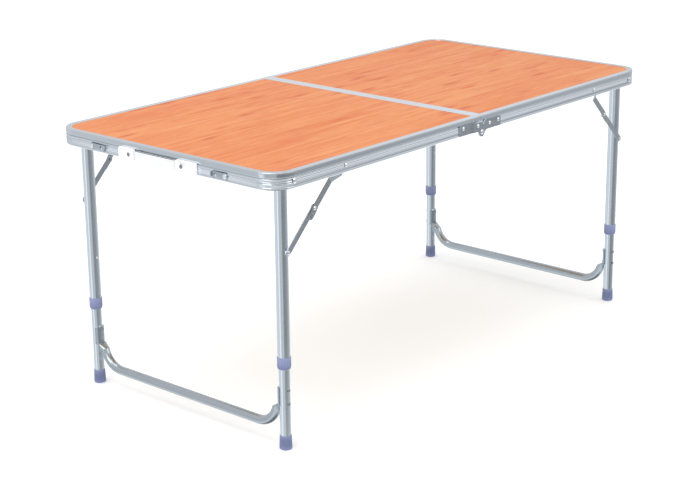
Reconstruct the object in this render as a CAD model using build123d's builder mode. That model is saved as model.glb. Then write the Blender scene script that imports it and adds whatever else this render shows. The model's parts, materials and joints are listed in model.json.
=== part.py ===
from build123d import *
from math import sqrt
import os

# Folding camping table: two framed half tops on a seam hinge, braced leg sets with telescopic feet.
# +Z up, +X along the table, origin on the floor under the middle of the seam.

os.makedirs("parts", exist_ok=True)

# ---------------------------------------------------------------- driving dimensions (mm)
table_length = 1200.0
table_width = 600.0
table_height = 548.0
corner_radius = 50.0  # outer radius of the two bends in each edge frame
seam_gap = 0.25  # each half stops this far from the seam plane

# edge profile, measured inwards from the outer face and down from the top
rail_height = 32.5
lip_width = 13.0
lip_thickness = 1.2
rail_inner = 2.8  # outer face to the inner face of the wall
centre_wall = 2.0  # wall of the plain profile along the seam
board_thickness = 3.0
ledge_thickness = 1.4

# legs
leg_x = 551.0
leg_y = 264.0
leg_pivot_drop = 18.0  # top surface to the leg pivot axis
upper_radius = 12.0
upper_wall = 1.2
lower_radius = 10.5
lower_wall = 1.2
upper_head = 6.0  # tube left above the pivot
collar_bottom = 162.0
collar_height = 23.5
collar_radius = 13.3
lower_top = 322.0
foot_height = 28.5
button_height = 272.5
height_step = 77.0  # distance between the two height holes
crossbar_radius = 9.0
crossbar_wall = 1.2
crossbar_height = 41.0
crossbar_bend = 50.0
crossbar_end = 124.0
crossbar_squeeze = 15.0  # degrees of the bend left when the tube starts to flatten
crossbar_rivets_z = (92.0, 119.0)
saddle_radius = 13.8

# braces: a two-link strut between rail and leg, its pivots at one distance from the leg pivot
brace_reach = 140.0
brace_width = 12.0
brace_thickness = 1.8
link_lower_face = 279.4  # distance of the lower link's inner face from the centre plane
link_upper_face = 282.0
link_rail_face = 295.2
joggle_start = 20.0
joggle_end = 36.0
tail_length = 24.0
tail_offset = 3.0
knee_radius = 7.5

# seam hinge
leaf_thickness = 1.6
pin_radius = 3.0
hinge_drop = 0.5  # hinge axis below the bottom edge of the rails
ear_radius = 9.5
leaf_lift = 1.9  # the left leaves are joggled outwards by this much to lap the right ones
leaf_rivets = {-1: ((-59.0, 532.0), (-13.0, 529.5)), 1: ((57.0, 530.5), (28.0, 528.5))}

# latches and handle on the short side of the left half
latch_points = (190.0, -174.0)
latch_drop = 22.0
latch_reach = 26.0
latch_lengths = (38.0, 35.0)
latch_tab = 4.5
stud_radius = 2.5
handle_bottom = 516.5
handle_top = 538.5
handle_blocks = ((66.0, 107.0), (-102.0, -50.0))
handle_screws_y = (79.0, -65.0)
handle_bow = 2.7  # how far the strap bows outwards between its blocks
handle_block_thickness = 6.2
strap_thickness = 2.2
strap_inset = 2.3  # back of a block to the inner face of the strap
strap_bottom = handle_bottom + 1.0
strap_top = handle_top - 2.5

# running clearances
fit_gap = 0.06

# ---------------------------------------------------------------- derived dimensions
half_length = table_length / 2
half_width = table_width / 2
rail_bottom = table_height - rail_height
board_top = table_height - lip_thickness
board_bottom = board_top - board_thickness
ledge_bottom = board_bottom - ledge_thickness
pivot_z = table_height - leg_pivot_drop
hinge_z = rail_bottom - hinge_drop
brace_rail_x = leg_x - brace_reach
brace_leg_z = pivot_z - brace_reach
slope = sqrt(0.5)
link_length = brace_reach * slope
knee_x = brace_rail_x + brace_reach / 2
knee_z = pivot_z - brace_reach / 2
link_lower_outer = link_lower_face + brace_thickness
link_upper_outer = link_upper_face + brace_thickness
link_rail_outer = link_rail_face + brace_thickness
latch_z = table_height - latch_drop
stud_z = 2 * hinge_z - (latch_z - latch_reach)
handle_middle = (handle_bottom + handle_top) / 2
crossbar_y = leg_y - lower_radius - crossbar_radius - 0.1
tail_tip = link_length + tail_length

SIDES = {"left": -1, "right": 1}
FACES = {"front": -1, "back": 1}


def write(piece, label):
    """Label one finished sub-part and write it as STEP."""
    piece.label = label
    export_step(piece, f"parts/{label}.step")


def across(x, z, face):
    """Section plane of a round piece lying along Y: local x is radial, local y is distance outwards."""
    return Plane(origin=(x, 0, z), x_dir=(1, 0, 0), z_dir=(0, 0, face))


def along(y, z, side):
    """Section plane of a round piece lying along X: local x is radial, local y is distance outwards."""
    return Plane(origin=(0, y, z), x_dir=(0, 1, 0), z_dir=(0, 0, -side))


def both_faces(*points):
    """Section planes for one axis per (x, z) point through the front and the back of the table."""
    return [across(x, z, face) for face in FACES.values() for x, z in points]


def turned(axes, start, steps, crown):
    """Round fasteners: (radius, end distance) steps from the inner end, the last one domed."""
    points = [(0, start)]
    level = start
    for radius, end in steps:
        points.append((radius, level))
        points.append((radius, end))
        level = end
    with BuildPart() as group:
        for plane in axes:
            with BuildSketch(plane):
                with BuildLine():
                    Polyline(*points)
                    TangentArc((0, level + crown), (radius, level), tangent=(1, 0))
                    Line((0, level + crown), (0, start))
                make_face()
            revolve(axis=Axis(plane.origin, plane.y_dir))
    return group.part


# ---------------------------------------------------------------- half tops


def edge_frame(side):
    """C-shaped edge profile bent round two corners: board slot above, ribbed wall below."""
    with BuildPart() as frame:
        with BuildLine() as run:
            Line((side * seam_gap, -half_width), (side * (half_length - corner_radius), -half_width))
            RadiusArc(
                (side * (half_length - corner_radius), -half_width),
                (side * half_length, -half_width + corner_radius),
                -side * corner_radius,
            )
            Line(
                (side * half_length, -half_width + corner_radius),
                (side * half_length, half_width - corner_radius),
            )
            RadiusArc(
                (side * half_length, half_width - corner_radius),
                (side * (half_length - corner_radius), half_width),
                -side * corner_radius,
            )
            Line((side * (half_length - corner_radius), half_width), (side * seam_gap, half_width))
        with BuildSketch(Plane(origin=(side * seam_gap, -half_width, 0), x_dir=(0, 1, 0), z_dir=(1, 0, 0))):
            with BuildLine():
                top = table_height
                Line((lip_width, board_top), (lip_width, top - 0.6))
                Line((lip_width, top - 0.6), (lip_width - 0.8, top))
                Line((lip_width - 0.8, top), (1.8, top))
                # rolled lip, a quirk under it, then two ribs and the bottom bead
                ThreePointArc((1.8, top), (0.7, top - 0.5), (0.35, top - 1.6))
                ThreePointArc((0.35, top - 1.6), (0, top - 5.6), (0.35, top - 9.6))
                ThreePointArc((0.35, top - 9.6), (0.8, top - 10.6), (1.7, top - 11.0))
                Line((1.7, top - 11.0), (1.7, top - 11.8))
                ThreePointArc((1.7, top - 11.8), (0.55, top - 12.8), (0.4, top - 14.4))
                ThreePointArc((0.4, top - 14.4), (0.85, top - 16.4), (0.4, top - 18.4))
                ThreePointArc((0.4, top - 18.4), (0.45, top - 19.6), (1.5, top - 20.4))
                ThreePointArc((1.5, top - 20.4), (0.5, top - 21.6), (0.4, top - 24.2))
                Line((0.4, top - 24.2), (0.9, top - 27.8))
                ThreePointArc((0.9, top - 27.8), (0.25, top - 29.8), (0.9, top - 31.7))
                Line((0.9, top - 31.7), (1.7, rail_bottom))
                Line((1.7, rail_bottom), (rail_inner, rail_bottom))
                Line((rail_inner, rail_bottom), (rail_inner, ledge_bottom))
                Line((rail_inner, ledge_bottom), (lip_width, ledge_bottom))
                Line((lip_width, ledge_bottom), (lip_width, board_bottom))
                Line((lip_width, board_bottom), (rail_inner, board_bottom))
                Line((rail_inner, board_bottom), (rail_inner, board_top))
                Line((rail_inner, board_top), (lip_width, board_top))
            make_face()
        sweep(path=run.wire(), transition=Transition.TRANSFORMED)
        # rivet holes of the leg pivots, braces and hinge leaves, through both long walls
        with BuildSketch(Plane.XZ):
            with Locations((side * leg_x, pivot_z)):
                Circle(pin_radius + fit_gap)
            with Locations((side * brace_rail_x, pivot_z), *leaf_rivets[side]):
                Circle(stud_radius + fit_gap)
        extrude(amount=half_width + 5, both=True, mode=Mode.SUBTRACT)
        # holes in the short wall: latch rivets and handle screws on the left, catch studs on the right
        with BuildSketch(Plane.YZ.offset(side * (half_length - 20))):
            if side < 0:
                with Locations(*[(y, latch_z) for y in latch_points]):
                    Circle(stud_radius + fit_gap)
                with Locations(*[(y, handle_middle) for y in handle_screws_y]):
                    Circle(stud_radius + fit_gap)
            else:
                with Locations(*[(y, stud_z) for y in latch_points]):
                    Circle(stud_radius + fit_gap)
        extrude(amount=side * 30, mode=Mode.SUBTRACT)
    return frame.part


def centre_rail(side):
    """Plain edge profile along the seam, butted between the two long walls of the edge frame."""
    length = table_width - 2 * (lip_width + 0.2)
    with BuildPart() as rail:
        with BuildSketch(Plane.XZ.offset(length / 2)):
            with BuildLine():
                near = side * seam_gap
                wall = side * (seam_gap + centre_wall)
                reach = side * (seam_gap + lip_width)
                Polyline(
                    (reach, board_top),
                    (reach, table_height - 0.6),
                    (reach - side * 0.8, table_height),
                    (near + side * 1.2, table_height),
                    (near, table_height - 1.2),
                    (near, rail_bottom),
                    (wall, rail_bottom),
                    (wall, ledge_bottom),
                    (reach, ledge_bottom),
                    (reach, board_bottom),
                    (wall, board_bottom),
                    (wall, board_top),
                    close=True,
                )
            make_face()
        extrude(amount=-length)
    return rail.part


def board(side):
    """Printed hardboard panel held in the slots of the edge frame and the centre rail."""
    margin = rail_inner + 0.2
    inner = seam_gap + centre_wall + 0.2
    length = half_length - margin - inner
    with BuildPart() as panel:
        with BuildSketch(Plane.XY.offset(board_bottom)) as outline:
            with Locations((side * (inner + length / 2), 0)):
                Rectangle(length, table_width - 2 * margin)
            outer = outline.vertices().group_by(Axis.X)[0 if side < 0 else -1]
            fillet(outer, corner_radius - margin)
        extrude(amount=board_thickness)
    return panel.part


# ---------------------------------------------------------------- legs


def leg_upper(side, face):
    """Upper leg tube with the pivot holes at its head and two height holes facing inwards."""
    x, y = side * leg_x, face * leg_y
    bottom = collar_bottom + 3.1
    with BuildPart() as tube:
        with BuildSketch(Plane.XY.offset(bottom)):
            with Locations((x, y)):
                Circle(upper_radius)
                Circle(upper_radius - upper_wall, mode=Mode.SUBTRACT)
        extrude(amount=pivot_z + upper_head - bottom)
        with BuildSketch(Plane.XZ.offset(-y)):
            with Locations((x, pivot_z)):
                Circle(pin_radius + fit_gap)
        extrude(amount=2 * upper_radius, both=True, mode=Mode.SUBTRACT)
        with BuildSketch(Plane.XZ.offset(-y)):
            with Locations((x, brace_leg_z)):
                Circle(stud_radius + fit_gap)
        extrude(amount=-face * 2 * upper_radius, mode=Mode.SUBTRACT)
        with BuildSketch(Plane.XZ.offset(-y)):
            with Locations((x, button_height), (x, button_height - height_step)):
                Circle(3.5)
        extrude(amount=face * 2 * upper_radius, mode=Mode.SUBTRACT)
    return tube.part


def collars(side):
    """Plastic collars on the ends of the upper tubes, their lower bores guiding the lower tubes."""
    top = collar_bottom + collar_height
    with BuildPart() as rings:
        for face in FACES.values():
            with BuildSketch(Plane.XZ.offset(-face * leg_y)):
                with BuildLine():
                    x = side * leg_x
                    Polyline(
                        (x + lower_radius + 0.08, collar_bottom),
                        (x + collar_radius - 1.6, collar_bottom),
                        (x + collar_radius - 0.6, collar_bottom + 1.4),
                        (x + collar_radius - 0.6, collar_bottom + 3.4),
                        (x + collar_radius, collar_bottom + 4.4),
                        (x + collar_radius, top - 1.0),
                        (x + collar_radius - 0.8, top),
                        (x + upper_radius + 0.05, top),
                        (x + upper_radius + 0.05, collar_bottom + 3.0),
                        (x + lower_radius + 0.08, collar_bottom + 3.0),
                        close=True,
                    )
                make_face()
            revolve(axis=Axis((side * leg_x, face * leg_y, 0), (0, 0, 1)))
    return rings.part


def leg_lower(side, face):
    """Lower leg tube sliding inside the upper one, with the button hole and the crossbar rivet holes."""
    x, y = side * leg_x, face * leg_y
    with BuildPart() as tube:
        with BuildSketch(Plane.XY.offset(3.0)):
            with Locations((x, y)):
                Circle(lower_radius)
                Circle(lower_radius - lower_wall, mode=Mode.SUBTRACT)
        extrude(amount=lower_top - 3.0)
        with BuildSketch(Plane.XZ.offset(-y)):
            with Locations((x, button_height)):
                Circle(3.3)
        extrude(amount=face * 2 * lower_radius, mode=Mode.SUBTRACT)
        with BuildSketch(Plane.XZ.offset(-y)):
            with Locations(*[(x, z) for z in crossbar_rivets_z]):
                Circle(stud_radius + fit_gap)
        extrude(amount=2 * lower_radius, both=True, mode=Mode.SUBTRACT)
    return tube.part


def foot_caps(side):
    """Flared plastic feet pushed over the ends of the lower tubes."""
    with BuildPart() as feet:
        for face in FACES.values():
            with BuildSketch(Plane.XZ.offset(-face * leg_y)):
                with BuildLine():
                    x = side * leg_x
                    Polyline(
                        (x, 0),
                        (x + 10.6, 0),
                        (x + 12.1, 1.4),
                        (x + 12.3, 4.0),
                        (x + 11.5, foot_height - 0.8),
                        (x + 11.1, foot_height),
                        (x + lower_radius + 0.05, foot_height),
                        (x + lower_radius + 0.05, 2.9),
                        (x, 2.9),
                        close=True,
                    )
                make_face()
            revolve(axis=Axis((side * leg_x, face * leg_y, 0), (0, 0, 1)))
    return feet.part


def crossbar(side):
    """U-shaped tube joining the two lower legs, its ends pressed flat round the leg tubes."""
    x = side * leg_x
    bend_y = crossbar_y - crossbar_bend
    bend_z = crossbar_height + crossbar_bend
    turn = 90 - crossbar_squeeze
    with BuildPart() as bar:
        with BuildLine(Plane.YZ.offset(x)) as run:
            CenterArc((-bend_y, bend_z), crossbar_bend, 180 + crossbar_squeeze, turn)
            Line((-bend_y, crossbar_height), (bend_y, crossbar_height))
            CenterArc((bend_y, bend_z), crossbar_bend, -90, turn)
        path = run.wire()
        with BuildSketch(Plane(origin=path @ 0, z_dir=path % 0)):
            Circle(crossbar_radius)
            Circle(crossbar_radius - crossbar_wall, mode=Mode.SUBTRACT)
        sweep(path=path, transition=Transition.TRANSFORMED)
        for face, end in ((-1, 0), (1, 1)):
            # the round tube closes down to a flat end
            with BuildSketch(Plane(origin=path @ end, z_dir=(path % end) * face)):
                Circle(crossbar_radius)
            with BuildSketch(Plane.XY.offset(crossbar_rivets_z[0] - 3)):
                with Locations((x, face * (leg_y - lower_radius - 2.2))):
                    Ellipse(crossbar_radius + 0.8, 1.9)
            loft()
            # saddle pressed round the inner side of the leg tube
            with BuildSketch(Plane.XY.offset(crossbar_rivets_z[0] - 5)):
                with Locations((x, face * leg_y)):
                    Circle(saddle_radius)
                    Circle(lower_radius + 0.1, mode=Mode.SUBTRACT)
                with Locations((x, face * (leg_y + saddle_radius - 6.2))):
                    Rectangle(3 * saddle_radius, 2 * saddle_radius, mode=Mode.SUBTRACT)
            extrude(amount=crossbar_end - crossbar_rivets_z[0] + 5)
            # flats pressed for the rivet tails
            with BuildSketch(Plane.XZ.offset(-face * (leg_y - saddle_radius))):
                with Locations(*[(x, z) for z in crossbar_rivets_z]):
                    Circle(4.4)
            extrude(amount=face * 12, mode=Mode.SUBTRACT)
        with BuildSketch(Plane.XZ):
            with Locations(*[(x, z) for z in crossbar_rivets_z]):
                Circle(stud_radius + fit_gap)
        extrude(amount=half_width, both=True, mode=Mode.SUBTRACT)
        # drain hole under the middle of the bar
        with BuildSketch(Plane.XY):
            with Locations((x, 0)):
                Circle(2)
        extrude(amount=crossbar_height, mode=Mode.SUBTRACT)
    return bar.part


def button(side, face):
    """Domed snap button with a shoulder that stops against the inside of the lower tube."""
    shoulder = 7.9
    seat = Plane(origin=(side * leg_x, face * leg_y, button_height), x_dir=(1, 0, 0), z_dir=(0, 0, -face))
    with BuildPart() as pin:
        with BuildSketch(seat):
            with BuildLine():
                Polyline(
                    (0, 14.6),
                    (0, shoulder - 1.4),
                    (4.5, shoulder - 1.4),
                    (4.5, shoulder),
                    (3.2, shoulder),
                    (3.2, 12.8),
                )
                TangentArc((0, 14.6), (3.2, 12.8), tangent=(1, 0))
            make_face()
        revolve(axis=Axis(seat.origin, (0, 1, 0)))
    return pin.part


def button_springs(side):
    """V-shaped leaf springs behind the two snap buttons of a leg set."""
    near = leg_y - 6.3
    far = leg_y + 8.5
    with BuildPart() as springs:
        for face in FACES.values():
            with BuildSketch(Plane.YZ.offset(side * leg_x - 3)):
                with BuildLine():
                    Polyline(
                        (face * near, button_height + 6),
                        (face * near, button_height - 6),
                        (face * (far - 2.4), button_height - 38),
                        (face * far, button_height - 36),
                        (face * far, button_height + 10),
                        (face * (far - 0.5), button_height + 10),
                        (face * (far - 0.5), button_height - 35.2),
                        (face * (far - 2.2), button_height - 36.6),
                        (face * (near + 0.5), button_height - 5.8),
                        (face * (near + 0.5), button_height + 6),
                        close=True,
                    )
                make_face()
            extrude(amount=6)
    return springs.part


def leg_spacers(side):
    """Spacer sleeves on the leg pivots, between the tubes and the walls of the edge frame."""
    inner = leg_y + upper_radius + 0.2
    outer = half_width - rail_inner - 0.7
    with BuildPart() as sleeves:
        for plane in both_faces((side * leg_x, pivot_z)):
            with BuildSketch(plane):
                with Locations((4.6, (outer + inner) / 2)):
                    Rectangle(2.8, outer - inner)
            revolve(axis=Axis(plane.origin, plane.y_dir))
    return sleeves.part


# ---------------------------------------------------------------- braces


def link_plane(side, x, z, distance):
    """Plane of a brace link: local x runs from the rail to the leg, local y away from the leg pivot."""
    return Plane(
        origin=(side * x, distance, z),
        x_dir=(side * slope, 0, -slope),
        z_dir=(0, side, 0),
    )


def brace_upper(side, face):
    """Upper brace link: riveted to the rail, joggled in to the leg, with a locking tail past the knee."""
    half = brace_width / 2
    round_end = tail_tip - half
    with BuildPart() as link:
        with BuildSketch(link_plane(side, brace_rail_x, pivot_z, 0)):
            with BuildLine():
                Polyline(
                    (0, -half),
                    (link_length - 4, -half),
                    (link_length + 8, tail_offset - half),
                    (round_end, tail_offset - half),
                )
                ThreePointArc(
                    (round_end, tail_offset - half),
                    (tail_tip, tail_offset),
                    (round_end, tail_offset + half),
                )
                Polyline(
                    (round_end, tail_offset + half),
                    (link_length + 6, tail_offset + half),
                    (link_length - 8, half),
                    (0, half),
                )
                ThreePointArc((0, half), (-half, 0), (0, -half))
            make_face()
            with Locations((0, 0), (link_length, 0)):
                Circle(stud_radius + fit_gap, mode=Mode.SUBTRACT)
            with Locations((round_end + 1, tail_offset)):
                Circle(1.2, mode=Mode.SUBTRACT)
        extrude(amount=half_width, both=True)
        # joggled sheet: against the rail at the top, beside the leg below
        sheet = Plane(
            origin=(side * brace_rail_x, 0, pivot_z),
            x_dir=(side * slope, 0, -slope),
            z_dir=(-side * slope, 0, -slope),
        )
        out = -side * face
        with BuildSketch(sheet):
            with BuildLine():
                Polyline(
                    (-brace_width, out * link_rail_face),
                    (joggle_start, out * link_rail_face),
                    (joggle_end, out * link_upper_face),
                    (2 * link_length, out * link_upper_face),
                    (2 * link_length, out * link_upper_outer),
                    (joggle_end + 1.2, out * link_upper_outer),
                    (joggle_start + 1.2, out * link_rail_outer),
                    (-brace_width, out * link_rail_outer),
                    close=True,
                )
            make_face()
        extrude(amount=2 * brace_width, both=True, mode=Mode.INTERSECT)
        # stamped dimple of the knee lock
        with BuildSketch(link_plane(side, brace_rail_x, pivot_z, face * link_upper_outer)):
            with Locations((link_length + 10.5, tail_offset - 1)):
                Circle(2.4)
        extrude(amount=face * side * 0.8)
    return link.part


def brace_lower(side, face):
    """Lower brace link: pinned to the leg, its round head behind the knee rivet."""
    with BuildPart() as link:
        with BuildSketch(link_plane(side, knee_x, knee_z, face * link_lower_face)):
            Circle(knee_radius)
            with Locations((link_length / 2, 0)):
                Rectangle(link_length, brace_width)
            with Locations((link_length, 0)):
                Circle(brace_width / 2)
            with Locations((0, 0), (link_length, 0)):
                Circle(stud_radius + fit_gap, mode=Mode.SUBTRACT)
        extrude(amount=face * side * brace_thickness)
    return link.part


# ---------------------------------------------------------------- seam hinge


def hinge_leaf(side, face):
    """Hinge plate on a long rail; the left one is joggled outwards to lap the ear of the right one."""
    low = rail_bottom + 1.5
    inner = face * (half_width + 0.05)
    outer = face * (half_width + 0.05 + leaf_thickness)
    lift = face * leaf_lift
    if side < 0:
        outline = (
            (-71, low),
            (-71, 541),
            (-27, 541),
            (-22, 536),
            (-5, 536),
            (6, 528),
            (11.5, 518),
            (3, 505),
            (-3, 505),
            (-13, low),
        )
        section = (
            (-80, inner),
            (-36, inner),
            (-27, inner + lift),
            (20, inner + lift),
            (20, outer + lift),
            (-27.6, outer + lift),
            (-36.6, outer),
            (-80, outer),
        )
    else:
        outline = (
            (65, low),
            (65, 537.5),
            (14, 539.5),
            (8, 532.5),
            (-7.5, 520),
            (0, hinge_z),
            (7.5, 510),
            (18, low),
        )
        section = ((-20, inner), (80, inner), (80, outer), (-20, outer))
    with BuildPart() as leaf:
        with BuildSketch(Plane.XZ):
            with BuildLine():
                Polyline(*outline, close=True)
            make_face()
            with Locations((0, hinge_z)):
                Circle(ear_radius)
                Circle(pin_radius + fit_gap, mode=Mode.SUBTRACT)
            with Locations(*leaf_rivets[side]):
                Circle(stud_radius + fit_gap, mode=Mode.SUBTRACT)
        extrude(amount=2 * half_width, both=True)
        with BuildSketch(Plane.XY.offset(hinge_z - 2 * ear_radius)):
            with BuildLine():
                Polyline(*section, close=True)
            make_face()
        extrude(amount=6 * ear_radius, mode=Mode.INTERSECT)
    return leaf.part


def hinge_rivets(side):
    """Domed rivets of the hinge leaves; those beyond the joggle of the left leaves stand further out."""
    seat = half_width + 0.1 + leaf_thickness
    with BuildPart() as group:
        for (x, z), lift in zip(leaf_rivets[side], (0, leaf_lift if side < 0 else 0)):
            for plane in both_faces((x, z)):
                with BuildSketch(plane):
                    with BuildLine():
                        Polyline(
                            (0, half_width - rail_inner - 1.3),
                            (3.4, half_width - rail_inner - 1.3),
                            (3.4, half_width - rail_inner - 0.1),
                            (stud_radius, half_width - rail_inner - 0.1),
                            (stud_radius, seat + lift),
                            (3.8, seat + lift),
                            (3.8, seat + lift + 0.4),
                        )
                        TangentArc((0, seat + lift + 1.6), (3.8, seat + lift + 0.4), tangent=(1, 0))
                        Line((0, seat + lift + 1.6), (0, half_width - rail_inner - 1.3))
                    make_face()
                revolve(axis=Axis(plane.origin, plane.y_dir))
    return group.part


# ---------------------------------------------------------------- latches


def latch_hook(y, length):
    """Hook plate on the left short rail: its notch swings down over a catch stud of the right half."""
    z = latch_z
    toward = -1 if y > 0 else 1
    with BuildPart() as hook:
        with BuildSketch(Plane.YZ.offset(-half_length - 0.3)):
            with BuildLine():
                Polyline(
                    (y, z + 6.2),
                    (y + toward * length, z + 5.4),
                    (y + toward * length, z - 4.4),
                    (y + toward * (length - 4), z - 7.0),
                    (y + toward * 30.4, z - 7.0),
                    (y + toward * 29.4, z - 3.0),
                    (y + toward * 29.4, z + 0.6),
                    (y + toward * 27.8, z + 3.2),
                    (y + toward * 24.2, z + 3.2),
                    (y + toward * 22.6, z + 0.6),
                    (y + toward * 22.2, z - 5.0),
                    (y + toward * 12, z - 6.2),
                    (y, z - 6.2),
                    close=True,
                )
            make_face()
            with Locations((y, z)):
                Circle(6.5)
                Circle(stud_radius + fit_gap, mode=Mode.SUBTRACT)
        extrude(amount=-leaf_thickness)
        # finger tab bent outwards at the free end
        with BuildSketch(Plane.YZ.offset(-half_length - 0.3)):
            with Locations((y + toward * (length - 1), z + 0.5)):
                Rectangle(2, 9)
        extrude(amount=-latch_tab)
    return hook.part


# ---------------------------------------------------------------- handle


def handle_strap():
    """Carrying strap: its flat ends lie inside the two blocks, and it is bowed between them."""
    inner = -half_length - strap_inset
    outer = inner - strap_thickness
    with BuildPart() as strap:
        with BuildSketch(Plane.XY.offset(strap_bottom)):
            with BuildLine():
                Polyline(
                    (inner, 104),
                    (inner, 65),
                    (inner - handle_bow, 59),
                    (inner - handle_bow, -42),
                    (inner, -49),
                    (inner, -99),
                    (outer, -99),
                    (outer, -49.5),
                    (outer - handle_bow, -42.5),
                    (outer - handle_bow, 59.5),
                    (outer, 65.5),
                    (outer, 104),
                    close=True,
                )
            make_face()
        extrude(amount=strap_top - strap_bottom)
        # round hole at one end, slot at the other so that the strap can bow
        with BuildSketch(Plane.YZ.offset(-half_length)):
            with Locations((handle_screws_y[0], handle_middle)):
                Circle(stud_radius + fit_gap)
            with Locations((handle_screws_y[1] - 5, handle_middle)):
                SlotCenterToCenter(10, 2 * (stud_radius + fit_gap))
        extrude(amount=-20, mode=Mode.SUBTRACT)
    return strap.part


def handle_bases():
    """Moulded blocks on the edge frame, each with a channel for one end of the strap."""
    channel = strap_thickness + 0.2
    with BuildPart() as blocks:
        for (low, high), screw in zip(handle_blocks, handle_screws_y):
            with BuildSketch(Plane.YZ.offset(-half_length - 0.1)):
                with Locations(((low + high) / 2, handle_middle)):
                    RectangleRounded(high - low, handle_top - handle_bottom + 1, 3)
            extrude(amount=-handle_block_thickness)
            toward = 1 if screw > 0 else -1
            mouth = low - 1 if screw > 0 else high + 1
            end = high - 2.5 if screw > 0 else low + 2.5
            with BuildSketch(Plane.YZ.offset(-half_length - strap_inset + 0.1)):
                with Locations(((mouth + end) / 2, (strap_bottom + strap_top) / 2)):
                    Rectangle((end - mouth) * toward, strap_top - strap_bottom + 0.3)
            extrude(amount=-channel, mode=Mode.SUBTRACT)
            with BuildSketch(Plane.YZ.offset(-half_length)):
                with Locations((screw, handle_middle)):
                    Circle(stud_radius + fit_gap)
            extrude(amount=-20, mode=Mode.SUBTRACT)
    return blocks.part


# ---------------------------------------------------------------- the assembly

for half, side in SIDES.items():
    write(board(side), f"board_{half}")
    write(edge_frame(side), f"edge_frame_{half}")
    write(centre_rail(side), f"centre_rail_{half}")
    write(collars(side), f"collars_{half}")
    write(foot_caps(side), f"foot_caps_{half}")
    write(crossbar(side), f"crossbar_{half}")
    write(button_springs(side), f"button_springs_{half}")
    write(leg_spacers(side), f"leg_spacers_{half}")
    write(hinge_rivets(side), f"hinge_rivets_{half}")
    for end, face in FACES.items():
        write(leg_upper(side, face), f"leg_upper_{half}_{end}")
        write(leg_lower(side, face), f"leg_lower_{half}_{end}")
        write(button(side, face), f"snap_button_{half}_{end}")
        write(brace_upper(side, face), f"brace_upper_{half}_{end}")
        write(brace_lower(side, face), f"brace_lower_{half}_{end}")
        write(hinge_leaf(side, face), f"hinge_leaf_{half}_{end}")

    # rivets, each given from its inner end outwards
    leg_inner = leg_y - upper_radius
    leg_outer = leg_y + upper_radius
    pivots = both_faces((side * leg_x, pivot_z))
    write(
        turned(
            pivots,
            leg_inner - 2.0,
            ((4.6, leg_inner - 0.2), (pin_radius, half_width), (5.5, half_width + 0.6)),
            1.3,
        ),
        f"leg_pivot_rivets_{half}",
    )
    write(
        turned(
            both_faces((side * brace_rail_x, pivot_z)),
            link_rail_face - 1.5,
            ((3.6, link_rail_face - 0.1), (stud_radius, half_width), (4.2, half_width + 0.5)),
            1.2,
        ),
        f"brace_rail_rivets_{half}",
    )
    write(
        turned(
            both_faces((side * leg_x, brace_leg_z)),
            leg_outer - 3.6,
            (
                (3.4, leg_outer - 2.2),
                (stud_radius, leg_outer + 0.1),
                (4.2, link_lower_face - 0.1),
                (stud_radius, link_lower_outer + 0.1),
                (4.4, link_lower_outer + 0.5),
            ),
            0.9,
        ),
        f"brace_leg_rivets_{half}",
    )
    write(
        turned(
            both_faces((side * knee_x, knee_z)),
            link_upper_face + 0.1,
            ((stud_radius, link_upper_outer + 0.05), (3.8, link_upper_outer + 0.5)),
            1.0,
        ),
        f"knee_rivets_{half}",
    )
    write(
        turned(
            both_faces(*[(side * leg_x, z) for z in crossbar_rivets_z]),
            leg_y - saddle_radius - 1.6,
            (
                (3.6, leg_y - saddle_radius - 0.1),
                (stud_radius, leg_y + lower_radius + 0.05),
                (3.9, leg_y + lower_radius + 0.6),
            ),
            1.0,
        ),
        f"crossbar_rivets_{half}",
    )

pin_seat = half_width + 0.05 + leaf_thickness + leaf_lift
write(
    turned(
        both_faces((0, hinge_z)),
        half_width + 0.15,
        ((pin_radius, pin_seat + 0.1), (5.2, pin_seat + 0.6)),
        1.4,
    ),
    "hinge_pins",
)
write(latch_hook(latch_points[0], latch_lengths[0]), "latch_hook_back")
write(latch_hook(latch_points[1], latch_lengths[1]), "latch_hook_front")
write(
    turned(
        [along(y, latch_z, -1) for y in latch_points],
        half_length - rail_inner - 1.4,
        (
            (3.4, half_length - rail_inner - 0.1),
            (stud_radius, half_length + leaf_thickness + 0.5),
            (4.6, half_length + leaf_thickness + 1.0),
        ),
        1.3,
    ),
    "latch_rivets",
)
write(
    turned(
        [along(y, stud_z, 1) for y in latch_points],
        half_length - rail_inner - 1.4,
        (
            (3.4, half_length - rail_inner - 0.1),
            (stud_radius, half_length + leaf_thickness + 1.4),
            (4.5, half_length + leaf_thickness + 2.2),
        ),
        0.8,
    ),
    "catch_studs",
)
write(
    turned(
        [along(y, handle_middle, -1) for y in handle_screws_y],
        half_length - rail_inner - 2.2,
        (
            (4.0, half_length - rail_inner - 0.1),
            (stud_radius, half_length + 6.4),
            (4.2, half_length + 7.2),
        ),
        0.8,
    ),
    "handle_screws",
)
write(handle_strap(), "handle_strap")
write(handle_bases(), "handle_bases")
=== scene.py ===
import bmesh
import bpy
import json
from math import cos, pi, radians, sin
from mathutils import Matrix, Vector

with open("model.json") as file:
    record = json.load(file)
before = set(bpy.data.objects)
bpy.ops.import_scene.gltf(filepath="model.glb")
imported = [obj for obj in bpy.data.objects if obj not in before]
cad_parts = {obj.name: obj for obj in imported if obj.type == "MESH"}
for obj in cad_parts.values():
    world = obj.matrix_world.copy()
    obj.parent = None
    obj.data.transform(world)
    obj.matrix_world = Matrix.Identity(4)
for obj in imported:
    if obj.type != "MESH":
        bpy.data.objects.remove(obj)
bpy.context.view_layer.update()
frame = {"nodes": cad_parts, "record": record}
nodes = frame["nodes"]

# Lengths are in metres, powers in watts and colours linear. +Z is up and +X runs along the table.

SIDES = ("left", "right")
ENDS = ("front", "back")

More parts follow.
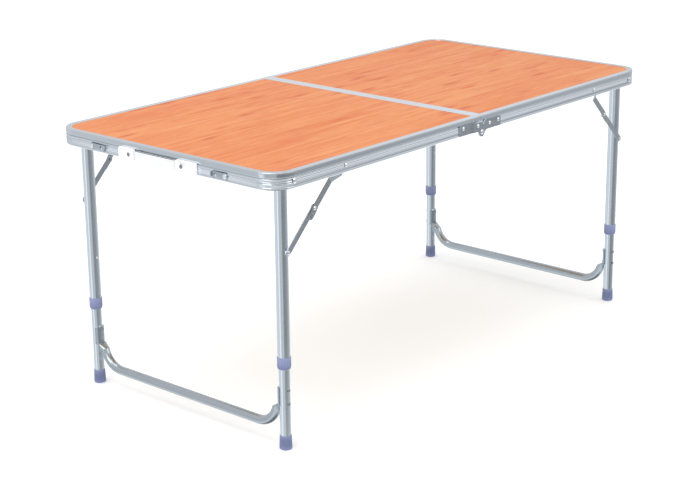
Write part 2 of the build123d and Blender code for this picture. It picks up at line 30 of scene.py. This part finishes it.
# printed bamboo strips
STRIP_WIDTH = 0.0185
STRIP_LENGTH = 0.31
STRIP_OFFSET = 0.37  # shift of every other row, as a part of the strip length
BAMBOO = {
    "base": (0.72, 0.26, 0.09),
    "strip_dark": (0.665, 0.180, 0.050),
    "strip_light": (0.700, 0.232, 0.074),
    "cloud": (0.715, 0.255, 0.085),
    "streak_light": (0.755, 0.330, 0.125),
    "streak_dark": (0.625, 0.140, 0.040),
    "fine_grain": (0.56, 0.125, 0.040),
    "knot": (0.56, 0.092, 0.030),
    "fibre_dark": (0.40, 0.27, 0.16),
    "fibre_light": (0.54, 0.40, 0.27),
}

# pointiness is about 0.5 on flats, more on outward edges and less in hollows; these bounds mask painted
# highlights on edges and painted shade in hollow places
OUTWARD = (0.52, 0.60)
INWARD = (0.49, 0.44)

SPOTS_PER_METRE = 170.0  # handling marks on bare metal
SPARKS_PER_METRE = 900.0  # texture of moulded plastic
PLASTIC_SUBSURFACE = 0.05

SILVER = (0.69, 0.735, 0.78)
TUBE_SILVER = (0.67, 0.72, 0.765)
# painted shade: the crossbars get a darker copy of the tube colour
CROSSBAR_SHADED_SILVER = (0.50, 0.55, 0.595)
STRIP_STEEL = (0.56, 0.605, 0.65)
RIVET_METAL = (0.84, 0.86, 0.88)
SPRING_STEEL = (0.42, 0.45, 0.50)
DARK_STEEL = (0.27, 0.28, 0.30)
LILAC = (0.135, 0.165, 0.30)
WHITE = (0.60, 0.605, 0.625)

# rounding of edges
WELD_REACH = 0.00001
ROUNDED_ABOVE = 35.0  # degrees between two faces
SHEET_EDGE = 0.00035
STRAP_EDGE = 0.0007
BLOCK_EDGE = 0.0008

FLOOR_HALF_SIZE = 25.0
FLOOR_COLOR = (0.90, 0.90, 0.90)
FLOOR_COLOR_LOW = (0.895, 0.895, 0.895)
FLOOR_COLOR_HIGH = (0.905, 0.905, 0.905)
FLOOR_GLOW = 0.20
FLOOR_GLOW_COLOR = (0.92, 0.98, 1.0, 1.0)

# tones of the surround: degrees round from the camera's side (its right is positive) and brightness
SURROUND = (
    (-180, 0.45),
    (-150, 0.70),
    (-110, 0.80),
    (-83, 0.66),
    (-70, 0.68),
    (-62, 1.05),
    (-50, 1.05),
    (-36, 0.52),
    (-5, 0.56),
    (6, 0.54),
    (12, 0.24),
    (40, 0.22),
    (70, 0.30),
    (97, 0.38),
    (130, 0.62),
    (160, 0.75),
    (180, 0.45),
)
SURROUND_TINT = (0.96, 1.0, 1.04)
DOME_RADIUS = 20.0
# heights between which one tone of the surround gives way to the next, as parts of its radius
NADIR_BAND = (-0.93, -0.80)
GROUND_BAND = (-0.52, -0.38)
CEILING_BAND = (-0.14, 0.10)
NADIR_COLOR = (0.22, 0.24, 0.26)
GROUND_COLOR = (0.97, 0.98, 0.99)
CEILING_COLOR = (0.75, 0.75, 0.765)

# name, place, target, size and power of each area light
LIGHTS = (
    ("overhead", (-0.8, 0.2, 3.6), (0, 0, 0), (3.0, 3.0), 34.0),
    ("key_left", (-3.6, -0.6, 2.4), (0, 0, 0.3), (2.2, 2.2), 26.0),
    ("fill_front", (1.0, -4.2, 1.6), (0, 0, 0.3), (2.4, 1.6), 16.0),
)
WORLD_COLOR = (1.0, 1.0, 1.0, 1.0)
WORLD_STRENGTH = 1.0

# camera fitted to the photo
CAMERA_PLACE = (-2.732, -2.338, 1.347)
YAW = radians(48.64)  # clockwise from +Y, seen from above
PITCH = radians(17.33)  # downwards
ROLL = radians(-0.61)
FOCAL_LENGTH = 90.45  # mm, on a sensor 36 mm wide
SENSOR_WIDTH = 36.0
CLIP_END = 60.0

# ---------------------------------------------------------------- node helpers


def shade(color, factor, lift=0.0):
    """A colour multiplied, then raised, and kept within 1."""
    return tuple(min(1.0, c * factor + lift) for c in color)


class Surface:
    """One procedural material: a Principled shader and texture nodes in the part's own metres."""

    def __init__(self, name, color, roughness, metallic=0.0, **sockets):
        self.mat = bpy.data.materials.new(name)
        self.mat.use_nodes = True
        self.tree = self.mat.node_tree
        self.shader = self.tree.nodes["Principled BSDF"]
        self.set("Base Color", (*color, 1.0))
        self.set("Roughness", roughness)
        self.set("Metallic", metallic)
        for key, value in sockets.items():
            self.set(key.replace("_", " "), value)
        self.place = self.node("ShaderNodeTexCoord").outputs["Object"]

    def set(self, socket, value):
        self.shader.inputs[socket].default_value = value

    def node(self, kind, **values):
        made = self.tree.nodes.new(kind)
        for key, value in values.items():
            setattr(made, key, value)
        return made

    def feed(self, socket, value):
        """Links an output to a socket, or sets a plain value on it."""
        if isinstance(value, bpy.types.NodeSocket):
            self.tree.links.new(value, socket)
        else:
            socket.default_value = value

    def feed_shader(self, socket, value):
        self.feed(self.shader.inputs[socket], value)

    def scaled(self, scale):
        mapping = self.node("ShaderNodeMapping")
        self.feed(mapping.inputs["Vector"], self.place)
        self.feed(mapping.inputs["Scale"], scale)
        return mapping.outputs["Vector"]

    def noise(self, scale, detail=3.0, roughness=0.5, distortion=0.0):
        """Noise with scale features per metre along X, Y and Z."""
        made = self.node("ShaderNodeTexNoise")
        self.feed(made.inputs["Vector"], self.scaled(scale))
        self.feed(made.inputs["Scale"], 1.0)
        self.feed(made.inputs["Detail"], detail)
        self.feed(made.inputs["Roughness"], roughness)
        self.feed(made.inputs["Distortion"], distortion)
        return made.outputs["Fac"]

    def cells(self, scale):
        """Distance from the nearest of scattered points, with scale points per metre along X, Y and Z."""
        made = self.node("ShaderNodeTexVoronoi")
        self.feed(made.inputs["Vector"], self.scaled(scale))
        self.feed(made.inputs["Scale"], 1.0)
        return made.outputs["Distance"]

    def span(self, value, low, high, out_low=0.0, out_high=1.0):
        """Rescales a value from low..high to out_low..out_high, clamped."""
        made = self.node("ShaderNodeMapRange")
        limits = {"From Min": low, "From Max": high, "To Min": out_low, "To Max": out_high}
        for key, number in limits.items():
            self.feed(made.inputs[key], number)
        self.feed(made.inputs["Value"], value)
        return made.outputs["Result"]

    def math(self, operation, a, b):
        made = self.node("ShaderNodeMath", operation=operation)
        self.feed(made.inputs[0], a)
        self.feed(made.inputs[1], b)
        return made.outputs["Value"]

    def mix(self, factor, a, b):
        made = self.node("ShaderNodeMix", data_type="RGBA")
        self.feed(made.inputs["Factor"], factor)
        self.feed(made.inputs["A"], a if isinstance(a, bpy.types.NodeSocket) else (*a, 1.0))
        self.feed(made.inputs["B"], b if isinstance(b, bpy.types.NodeSocket) else (*b, 1.0))
        return made.outputs["Result"]

    def bump(self, height, distance, strength):
        """Adds relief on top of any that is there already."""
        made = self.node("ShaderNodeBump")
        self.feed(made.inputs["Height"], height)
        self.feed(made.inputs["Distance"], distance)
        self.feed(made.inputs["Strength"], strength)
        previous = self.shader.inputs["Normal"]
        if previous.is_linked:
            self.feed(made.inputs["Normal"], previous.links[0].from_socket)
        self.feed(previous, made.outputs["Normal"])

    def edge(self, low, high):
        """0 where the pointiness is low and 1 where it is high; low may be the larger number."""
        return self.span(self.node("ShaderNodeNewGeometry").outputs["Pointiness"], low, high)


# ---------------------------------------------------------------- materials


def board_print():
    """Bamboo print: narrow strips along the table with grain and knots under a dull lacquer."""
    s = Surface("board_print", BAMBOO["base"], 0.40, Specular_IOR_Level=0.16)
    strips = s.node("ShaderNodeTexBrick", offset=STRIP_OFFSET, offset_frequency=2)
    s.feed(strips.inputs["Vector"], s.place)
    layout = {
        "Scale": 1.0,
        "Mortar Size": 0.0,
        "Bias": 0.0,
        "Brick Width": STRIP_LENGTH,
        "Row Height": STRIP_WIDTH,
        "Color1": (0, 0, 0, 1),
        "Color2": (1, 1, 1, 1),
    }
    for key, value in layout.items():
        s.feed(strips.inputs[key], value)
    which = s.span(strips.outputs["Color"], 0.1, 0.9)
    tone = s.mix(which, BAMBOO["strip_dark"], BAMBOO["strip_light"])
    cloud = s.noise((3.0, 22.0, 1.0), detail=4.0)
    tone = s.mix(s.span(cloud, 0.35, 0.68), tone, BAMBOO["cloud"])
    streak = s.noise((4.0, 120.0, 1.0), detail=5.0, roughness=0.62, distortion=0.4)
    tone = s.mix(s.span(streak, 0.48, 0.66, 0.0, 0.85), tone, BAMBOO["streak_light"])
    dark_streak = s.noise((5.5, 95.0, 3.0), detail=4.0, roughness=0.6)
    tone = s.mix(s.span(dark_streak, 0.50, 0.68, 0.0, 0.70), tone, BAMBOO["streak_dark"])
    fine = s.noise((18.0, 700.0, 1.0), detail=3.0)
    tone = s.mix(s.span(fine, 0.35, 0.75, 0.0, 0.20), tone, BAMBOO["fine_grain"])
    # short reddish knots, gathered in some places and missing in others
    knots = s.cells((8.0, 36.0, 1.0))
    spread = s.span(s.noise((5.0, 11.0, 1.0), detail=1.0), 0.44, 0.56)
    smudge = s.math("MULTIPLY", s.span(knots, 0.06, 0.30, 1.0, 0.0), spread)
    tone = s.mix(s.math("MULTIPLY", smudge, 0.95), tone, BAMBOO["knot"])
    # plain hardboard underneath and on the sawn edges
    up = s.node("ShaderNodeSeparateXYZ")
    s.feed(up.inputs[0], s.node("ShaderNodeTexCoord").outputs["Normal"])
    speckle = s.noise((180.0, 180.0, 180.0), detail=6.0)
    fibre = s.mix(speckle, BAMBOO["fibre_dark"], BAMBOO["fibre_light"])
    s.feed_shader("Base Color", s.mix(s.span(up.outputs["Z"], 0.5, 0.6), fibre, tone))
    gloss = s.noise((40.0, 160.0, 1.0), detail=4.0)
    s.feed_shader("Roughness", s.span(gloss, 0.3, 0.7, 0.34, 0.46))
    s.bump(streak, 0.00005, 0.3)
    return s.mat


def metal(name, color, roughness, grain, contrast=0.04, spots=0.0, edges=1.2, hollow_shade=1.0):
    """Bare metal: grain lines, cloudy roughness, handling marks, painted highlights on edges and painted
    shade in hollow places.
    """
    s = Surface(name, color, roughness, metallic=1.0)
    lines = s.noise(grain, detail=5.0, roughness=0.6)
    cloud = s.noise((7.0, 7.0, 7.0), detail=4.0)
    dark = shade(color, 1 - 2 * contrast)
    tone = s.mix(s.span(lines, 0.25, 0.75), dark, shade(color, 1 + contrast))
    tone = s.mix(s.span(cloud, 0.42, 0.75, 0.0, 0.4), tone, dark)
    if spots:
        marks = s.span(s.cells((SPOTS_PER_METRE,) * 3), 0.04, 0.16, spots, 0.0)
        tone = s.mix(marks, tone, shade(color, 0.55))
    # painted shade: hollow places get a darker colour, where shade falls
    tone = s.mix(s.edge(*INWARD), tone, shade(color, hollow_shade))
    # painted highlight: outward edges get a paler colour
    tone = s.mix(s.edge(*OUTWARD), tone, shade(color, edges))
    s.feed_shader("Base Color", tone)
    base = s.span(cloud, 0.3, 0.8, roughness - 0.03, roughness + 0.06)
    s.feed_shader("Roughness", s.math("ADD", s.span(lines, 0.2, 0.8, -0.03, 0.04), base))
    s.bump(lines, 0.00001, 0.5)
    return s.mat


def plastic(name, color, roughness):
    """Moulded plastic: fine sparked texture, faint flow marks and painted highlights on its edges."""
    s = Surface(
        name,
        color,
        roughness,
        Specular_IOR_Level=0.5,
        Subsurface_Weight=PLASTIC_SUBSURFACE,
        Subsurface_Scale=0.004,
    )
    flow = s.noise((35.0, 35.0, 90.0), detail=3.0)
    dirt = s.noise((140.0, 140.0, 140.0), detail=5.0)
    tone = s.mix(s.span(flow, 0.3, 0.7), shade(color, 0.93), shade(color, 1.05))
    tone = s.mix(s.span(dirt, 0.58, 0.8, 0.0, 0.30), tone, shade(color, 0.72))
    # painted highlight: outward edges get a paler colour
    tone = s.mix(s.edge(*OUTWARD), tone, shade(color, 1.5, lift=0.10))
    s.feed_shader("Base Color", tone)
    s.feed_shader("Roughness", s.span(dirt, 0.3, 0.7, roughness - 0.07, roughness + 0.09))
    s.bump(s.noise((SPARKS_PER_METRE,) * 3, detail=2.0), 0.00008, 0.35)
    s.bump(flow, 0.0003, 0.12)
    return s.mat


def finishes():
    """One material for each slot of the record."""
    # the edge and hollow factors given to metal() scale its painted highlights on edges and painted shade
    # in hollow places
    rail = metal("rail_aluminium", SILVER, 0.16, (1.5, 1.5, 300.0), 0.03, edges=1.25, hollow_shade=0.42)
    tube = metal("tube_aluminium", TUBE_SILVER, 0.19, (260.0, 260.0, 3.0), spots=0.10)
    lilac = plastic("lilac_plastic", LILAC, 0.42)
    white = plastic("white_plastic", WHITE, 0.36)
    strip = metal("strip_steel", STRIP_STEEL, 0.24, (200.0, 40.0, 200.0), 0.07, 0.25, 1.5, 0.55)
    rivet = metal("rivet_metal", RIVET_METAL, 0.16, (300.0, 300.0, 300.0), hollow_shade=0.6)
    spring = metal("spring_steel", SPRING_STEEL, 0.28, (30.0, 30.0, 400.0), 0.08)
    dark = metal("dark_steel", DARK_STEEL, 0.26, (350.0, 350.0, 350.0), 0.10, edges=1.8, hollow_shade=0.35)
    return {
        "board_print": board_print(),
        "rail_aluminium": rail,
        "tube_aluminium": tube,
        "lilac_plastic": lilac,
        "white_plastic": white,
        "strip_steel": strip,
        "rivet_metal": rivet,
        "spring_steel": spring,
        "dark_steel": dark,
    }


def paint(node, material):
    for slot in nodes[node].material_slots:
        slot.material = material


MATERIALS = finishes()
for part in frame["record"]["subparts"]:
    paint(part["node"], MATERIALS[part["material_slot"]])

# crossbars run along Y, so their brushing does too; their colour, darker than the leg tubes, is painted
# shade for bars low under the table
crossbar_shaded_metal = metal("crossbar_aluminium_shaded", CROSSBAR_SHADED_SILVER, 0.20, (260.0, 3.0, 260.0), spots=0.10)
for side in SIDES:
    paint(f"crossbar_{side}", crossbar_shaded_metal)


def soften(node, width):
    """Rounds the outward and inward edges of a piece, as pressing and moulding leave them."""
    piece = nodes[node]
    weld = piece.modifiers.new("weld", "WELD")
    weld.merge_threshold = WELD_REACH
    bevel = piece.modifiers.new("bevel", "BEVEL")
    bevel.limit_method = "ANGLE"
    bevel.angle_limit = radians(ROUNDED_ABOVE)
    bevel.width = width
    bevel.segments = 2
    bevel.use_clamp_overlap = True


for side in SIDES:
    for end in ENDS:
        soften(f"hinge_leaf_{side}_{end}", SHEET_EDGE)
        soften(f"brace_upper_{side}_{end}", SHEET_EDGE)
        soften(f"brace_lower_{side}_{end}", SHEET_EDGE)
for end in ENDS:
    soften(f"latch_hook_{end}", SHEET_EDGE)
soften("handle_strap", STRAP_EDGE)
soften("handle_bases", BLOCK_EDGE)

# ---------------------------------------------------------------- stage, light and camera


def placed(name, built, material):
    """Makes an object of a built mesh, with one material, and puts it in the scene."""
    mesh = bpy.data.meshes.new(name)
    built.to_mesh(mesh)
    built.free()
    mesh.materials.append(material)
    made = bpy.data.objects.new(name, mesh)
    bpy.context.scene.collection.objects.link(made)
    return made


def floor():
    """Plain pale floor that glows faintly and that reflections don't show."""
    s = Surface("floor_paint", FLOOR_COLOR, 0.9, Specular_IOR_Level=0.0, Emission_Strength=FLOOR_GLOW)
    s.set("Emission Color", FLOOR_GLOW_COLOR)
    s.feed_shader("Base Color", s.mix(s.noise((0.7, 0.7, 0.7)), FLOOR_COLOR_LOW, FLOOR_COLOR_HIGH))
    # seen from below the floor is clear, so that the underside of the table can be looked at
    sides = s.node("ShaderNodeMixShader")
    s.feed(sides.inputs[0], s.node("ShaderNodeNewGeometry").outputs["Backfacing"])
    s.feed(sides.inputs[1], s.shader.outputs["BSDF"])
    s.feed(sides.inputs[2], s.node("ShaderNodeBsdfTransparent").outputs["BSDF"])
    s.feed(s.tree.nodes["Material Output"].inputs["Surface"], sides.outputs[0])
    built = bmesh.new()
    bmesh.ops.create_grid(built, x_segments=1, y_segments=1, size=FLOOR_HALF_SIZE)
    made = placed("floor", built, s.mat)
    made.visible_glossy = False
    return made


def dome():
    """Studio surround that only reflections meet: soft boxes and flags ranged round the table.

    The tones go round from behind the table over its left (as the camera sees it), the camera and
    its right, back to behind. Below that band the surround is nearly white, and dark straight under
    the table. Above it the surround is a pale grey.
    """
    s = Surface("dome_cloth", (0.0, 0.0, 0.0), 1.0, Specular_IOR_Level=0.0, Emission_Strength=1.0)
    point = s.node("ShaderNodeSeparateXYZ")
    s.feed(point.inputs[0], s.place)
    x, y, z = point.outputs["X"], point.outputs["Y"], point.outputs["Z"]
    rightward = s.math("SUBTRACT", s.math("MULTIPLY", x, cos(YAW)), s.math("MULTIPLY", y, sin(YAW)))
    nearward = s.math("ADD", s.math("MULTIPLY", x, -sin(YAW)), s.math("MULTIPLY", y, -cos(YAW)))
    angle = s.math("ARCTAN2", rightward, nearward)
    ramp = s.node("ShaderNodeValToRGB")
    tones = ramp.color_ramp.elements
    tones.remove(tones[0])
    for step, (degrees, tone) in enumerate(SURROUND):
        position = (degrees + 180) / 360
        entry = tones[0] if step == 0 else tones.new(position)
        entry.position = position
        entry.color = (*(channel * tone for channel in SURROUND_TINT), 1)
    s.feed(ramp.inputs["Fac"], s.span(angle, -pi, pi))

    def height(band, *out):
        low, high = band
        return s.span(z, low * DOME_RADIUS, high * DOME_RADIUS, *out)

    below = height(GROUND_BAND, 1.0, 0.0)
    above = height(CEILING_BAND)
    cloth = s.mix(below, ramp.outputs["Color"], GROUND_COLOR)
    cloth = s.mix(height(NADIR_BAND, 1.0, 0.0), cloth, NADIR_COLOR)
    s.feed_shader("Emission Color", s.mix(above, cloth, CEILING_COLOR))
    s.mat.cycles.emission_sampling = "NONE"
    built = bmesh.new()
    bmesh.ops.create_uvsphere(built, u_segments=64, v_segments=32, radius=DOME_RADIUS)
    made = placed("dome", built, s.mat)
    for ray in ("camera", "diffuse", "shadow", "transmission", "volume_scatter"):
        setattr(made, f"visible_{ray}", False)
    return made


def area_light(name, place, target, size, power):
    light = bpy.data.lights.new(name, "AREA")
    light.shape = "RECTANGLE"
    light.size, light.size_y = size
    light.energy = power
    made = bpy.data.objects.new(name, light)
    made.location = place
    made.rotation_euler = (Vector(target) - Vector(place)).to_track_quat("-Z", "Y").to_euler()
    bpy.context.scene.collection.objects.link(made)


floor()
dome()
for light in LIGHTS:
    area_light(*light)

world = bpy.data.worlds.new("studio")
bpy.context.scene.world = world
world.use_nodes = True
background = world.node_tree.nodes["Background"]
background.inputs["Color"].default_value = WORLD_COLOR
background.inputs["Strength"].default_value = WORLD_STRENGTH

bpy.context.scene.view_settings.view_transform = "Standard"

forward = Vector((sin(YAW) * cos(PITCH), cos(YAW) * cos(PITCH), -sin(PITCH)))
right = Vector((cos(YAW), -sin(YAW), 0.0))
up = right.cross(forward)
across = cos(ROLL) * right + sin(ROLL) * up
upright = cos(ROLL) * up - sin(ROLL) * right
turn = Matrix((across, upright, -forward)).transposed().to_4x4()
lens = bpy.data.cameras.new("camera")
lens.lens = FOCAL_LENGTH
lens.sensor_width = SENSOR_WIDTH
lens.clip_end = CLIP_END
camera = bpy.data.objects.new("camera", lens)
camera.matrix_world = Matrix.Translation(CAMERA_PLACE) @ turn
bpy.context.scene.collection.objects.link(camera)
bpy.context.scene.camera = camera
